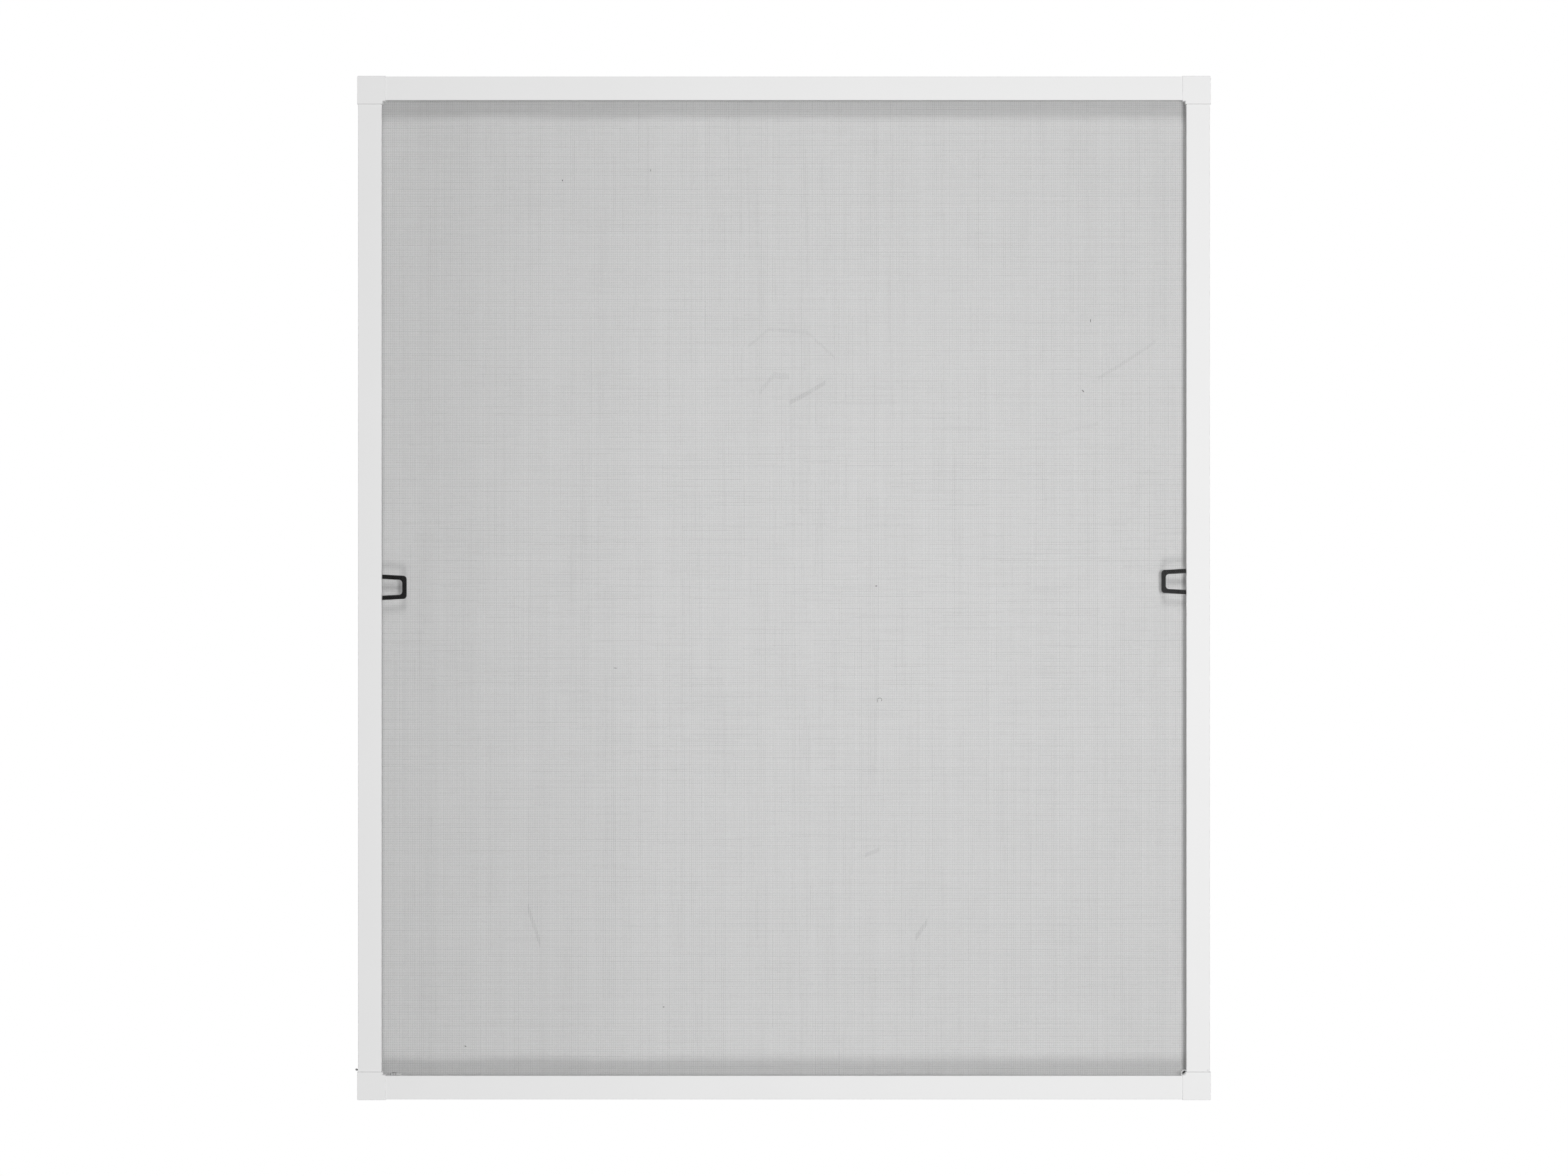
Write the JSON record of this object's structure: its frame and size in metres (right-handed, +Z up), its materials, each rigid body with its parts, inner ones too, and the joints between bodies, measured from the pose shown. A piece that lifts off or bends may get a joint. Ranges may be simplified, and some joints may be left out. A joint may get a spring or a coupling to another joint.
{
  "type": "window insect screen frame",
  "caption": "Rectangular window insect screen: white aluminium frame with plastic corner connectors, grey mesh held by spline cords, a rear brush seal and black pull loops.",
  "frame": {"origin": "middle of the opening, in the plane of the frame's rear face, where it seats against the window", "axes": "+X along the sill, to the right seen from the plain face; +Y from the plain outdoor face to the rear face; +Z up along the uprights"},
  "size_m": [1, 0.0156, 1.2],
  "materials": {
    "profile": "satin white powder coat",
    "corner": "white moulded plastic, fine grain",
    "mesh": "grey coated glass fibre yarn, open plain weave",
    "spline": "soft dark cord",
    "brush": "dense grey pile",
    "pull_loop": "black flexible plastic"
  },
  "bodies": {
    "root": {"insect_mesh": "mesh", "bottom_profile": "profile", "left_profile": "profile", "top_profile": "profile", "right_profile": "profile", "bottom_left_corner": "corner", "top_left_corner": "corner", "top_right_corner": "corner", "bottom_right_corner": "corner", "bottom_spline": "spline", "left_spline": "spline", "top_spline": "spline", "right_spline": "spline", "bottom_brush": "brush", "left_brush": "brush", "top_brush": "brush", "right_brush": "brush", "left_pull_loop": "pull_loop", "right_pull_loop": "pull_loop"}
  },
  "joints": []
}
